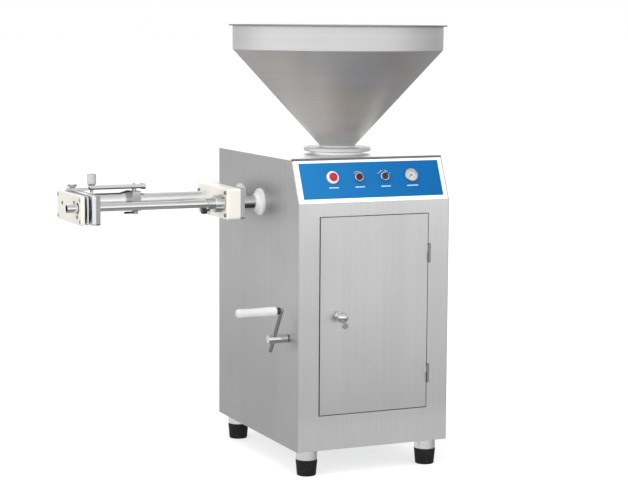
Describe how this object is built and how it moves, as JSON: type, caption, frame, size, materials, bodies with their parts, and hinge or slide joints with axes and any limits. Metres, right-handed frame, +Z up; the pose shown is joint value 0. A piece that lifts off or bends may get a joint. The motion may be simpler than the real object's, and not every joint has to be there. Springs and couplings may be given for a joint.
{
  "type": "pneumatic sausage filler",
  "caption": "Free-standing pneumatic sausage filler: steel cabinet with door, conical hopper, control panel, stroke crank and side arm with rotating stuffing tube and sliding casing head.",
  "frame": {"origin": "middle of the whole outline, on the floor", "axes": "+Z up, -Y towards the operator's side with the door and controls, -X along the stuffing arm to its free end"},
  "size_m": [1.442, 0.834, 1.6],
  "materials": {
    "sheet_steel": "satin brushed",
    "hopper_steel": "satin",
    "faceplate": "blue print with a white border, semi-gloss",
    "frame_steel": "primer grey",
    "foot_steel": "polished",
    "foot_rubber": "moulded black",
    "chrome": "polished",
    "red_button": "gloss",
    "dark_red_button": "gloss",
    "knob_plastic": "gloss",
    "collar_steel": "satin chrome",
    "gauge_case": "bright",
    "needle": "matt black",
    "screw_steel": "dark steel",
    "cast_steel": "cast, machined",
    "valve_plastic": "turned acetal",
    "aluminium": "anodised",
    "machined_steel": "turned",
    "bronze": "turned bronze",
    "grip_plastic": "white, semi-gloss",
    "white_plastic": "white, semi-gloss",
    "cream_paint": "cream, semi-gloss",
    "belt_rubber": "matt",
    "black_plastic": "moulded",
    "tube_steel": "polished stainless",
    "guide_steel": "ground",
    "core_rubber": "matt",
    "plate_steel": "milled",
    "air_tube": "nylon",
    "coil_plastic": "moulded"
  },
  "bodies": {
    "root": {"left_side_panel": "sheet_steel", "right_side_panel": "sheet_steel", "rear_panel": "sheet_steel", "top_panel": "sheet_steel", "front_panel": "sheet_steel", "control_faceplate": "faceplate", "machine_frame": "frame_steel", "foot_collars": "foot_steel", "foot_pads": "foot_rubber", "hinge_frame_halves": "chrome", "button_collars": "collar_steel", "gauge_case": "gauge_case", "hopper": "hopper_steel", "socket_screws": "screw_steel", "valve_body": "cast_steel", "valve_actuator": "aluminium", "metering_cylinder": "machined_steel", "air_cylinder": "aluminium", "gear_bracket": "frame_steel", "panel_pipes": "tube_steel", "panel_flanges": "white_plastic", "air_motor": "aluminium", "twist_belt": "belt_rubber", "twist_housing": "cream_paint", "twist_back_plate": "plate_steel", "guide_tube": "guide_steel", "air_inlet_fitting": "machined_steel", "valve_manifold": "coil_plastic", "air_tubes": "air_tube"},
    "door": {"door_panel": "sheet_steel", "hinge_door_halves": "chrome"},
    "door_knob_body": {"door_knob": "chrome"},
    "door_lock_body": {"door_lock": "chrome"},
    "stop_button_body": {"stop_button": "red_button"},
    "start_button_body": {"start_button": "dark_red_button"},
    "mode_knob_body": {"mode_knob": "knob_plastic"},
    "needle": {"gauge_needle": "needle"},
    "valve_rotor": {"valve_plug": "valve_plastic"},
    "piston": {"metering_piston": "machined_steel", "crosshead": "aluminium", "air_piston": "machined_steel"},
    "crank": {"crank_shaft": "chrome", "crank_arm": "chrome"},
    "grip": {"crank_grip": "grip_plastic"},
    "screw": {"lead_screw": "machined_steel"},
    "nut": {"stop_nut": "bronze"},
    "nozzle": {"spindle": "machined_steel", "union_nut": "tube_steel", "stuffing_tube": "tube_steel"},
    "twist_drive": {"drive_shaft": "machined_steel"},
    "tension_knob": {"belt_tension_knob": "black_plastic"},
    "carriage": {"carriage_sleeve": "guide_steel", "clamp_block": "plate_steel", "top_bar": "plate_steel", "head_cover": "cream_paint", "head_core": "core_rubber", "head_plates": "plate_steel", "head_screws": "screw_steel"},
    "lever": {"clamp_lever": "black_plastic"},
    "lock_knob": {"locking_knob": "guide_steel"}
  },
  "joints": [
    {"name": "door_hinge", "type": "hinge", "parent": "root", "child": "door", "pos_m": [0.527, -0.3645, 0.6], "axis": [0, 0, 1], "range_deg": [0, 110]},
    {"name": "door_knob_turn", "type": "hinge", "parent": "door", "child": "door_knob_body", "pos_m": [0.171, -0.36, 0.576], "axis": [0, 1, 0], "range_deg": [0, 90]},
    {"name": "door_lock_turn", "type": "hinge", "parent": "door", "child": "door_lock_body", "pos_m": [0.196, -0.36, 0.539], "axis": [0, 1, 0], "range_deg": [0, 90]},
    {"name": "stop_press", "type": "slide", "parent": "root", "child": "stop_button_body", "axis": [0, 0.916, -0.4011], "range_m": [0, 0.005], "stiffness_N_per_m": 600},
    {"name": "start_press", "type": "slide", "parent": "root", "child": "start_button_body", "axis": [0, 0.916, -0.4011], "range_m": [0, 0.004], "stiffness_N_per_m": 400},
    {"name": "mode_turn", "type": "hinge", "parent": "root", "child": "mode_knob_body", "pos_m": [0.363, -0.32109, 1.06285], "axis": [0, -0.916, 0.4011], "range_deg": [-45, 45]},
    {"name": "gauge_needle_turn", "type": "hinge", "parent": "root", "child": "needle", "pos_m": [0.47, -0.32029, 1.06469], "axis": [0, 0.916, -0.4011], "range_deg": [0, 270], "stiffness_Nm_per_rad": 0.0005},
    {"name": "valve_turn", "type": "hinge", "parent": "root", "child": "valve_rotor", "pos_m": [0.319, -0.015, 0.957], "axis": [0, 1, 0], "range_deg": [0, 90]},
    {"name": "piston_stroke", "type": "slide", "parent": "root", "child": "piston", "axis": [0, 0, 1], "range_m": [0, 0.06]},
    {"name": "crank_turn", "type": "hinge", "parent": "root", "child": "crank", "pos_m": [-0.043, -0.271, 0.493], "axis": [1, 0, 0], "range_deg": [0, 3600]},
    {"name": "grip_spin", "type": "hinge", "parent": "crank", "child": "grip", "pos_m": [-0.043, -0.34096, 0.60494], "axis": [1, 0, 0], "continuous": true},
    {"name": "lead_screw_turn", "type": "hinge", "parent": "root", "child": "screw", "pos_m": [0.139, -0.271, 0.6], "axis": [0, 0, 1], "range_deg": [0, 3600]},
    {"name": "stop_nut_travel", "type": "slide", "parent": "root", "child": "nut", "axis": [0, 0, 1], "range_m": [-0.05, 0]},
    {"name": "nozzle_spin", "type": "hinge", "parent": "root", "child": "nozzle", "pos_m": [-0.136, -0.015, 0.957], "axis": [1, 0, 0], "continuous": true},
    {"name": "twist_drive_spin", "type": "hinge", "parent": "root", "child": "twist_drive", "pos_m": [-0.111, 0.17, 0.96], "axis": [1, 0, 0], "continuous": true},
    {"name": "tension_knob_turn", "type": "hinge", "parent": "root", "child": "tension_knob", "pos_m": [-0.136, 0.118, 0.921], "axis": [1, 0, 0], "range_deg": [-360, 360]},
    {"name": "carriage_slide", "type": "slide", "parent": "root", "child": "carriage", "axis": [-1, 0, 0], "range_m": [0, 0.12]},
    {"name": "clamp_lever_turn", "type": "hinge", "parent": "carriage", "child": "lever", "pos_m": [-0.413, 0.15, 0.912], "axis": [0, 0, 1], "range_deg": [-70, 70]},
    {"name": "lock_knob_turn", "type": "hinge", "parent": "carriage", "child": "lock_knob", "pos_m": [-0.571, 0.17, 1.04], "axis": [0, 0, 1], "range_deg": [0, 720]}
  ],
  "couplings": [
    {"joint": "lead_screw_turn", "follows": "crank_turn", "ratio": 1},
    {"joint": "stop_nut_travel", "follows": "crank_turn", "m_per_rad": -0.00079577},
    {"joint": "twist_drive_spin", "follows": "nozzle_spin", "ratio": 1}
  ]
}
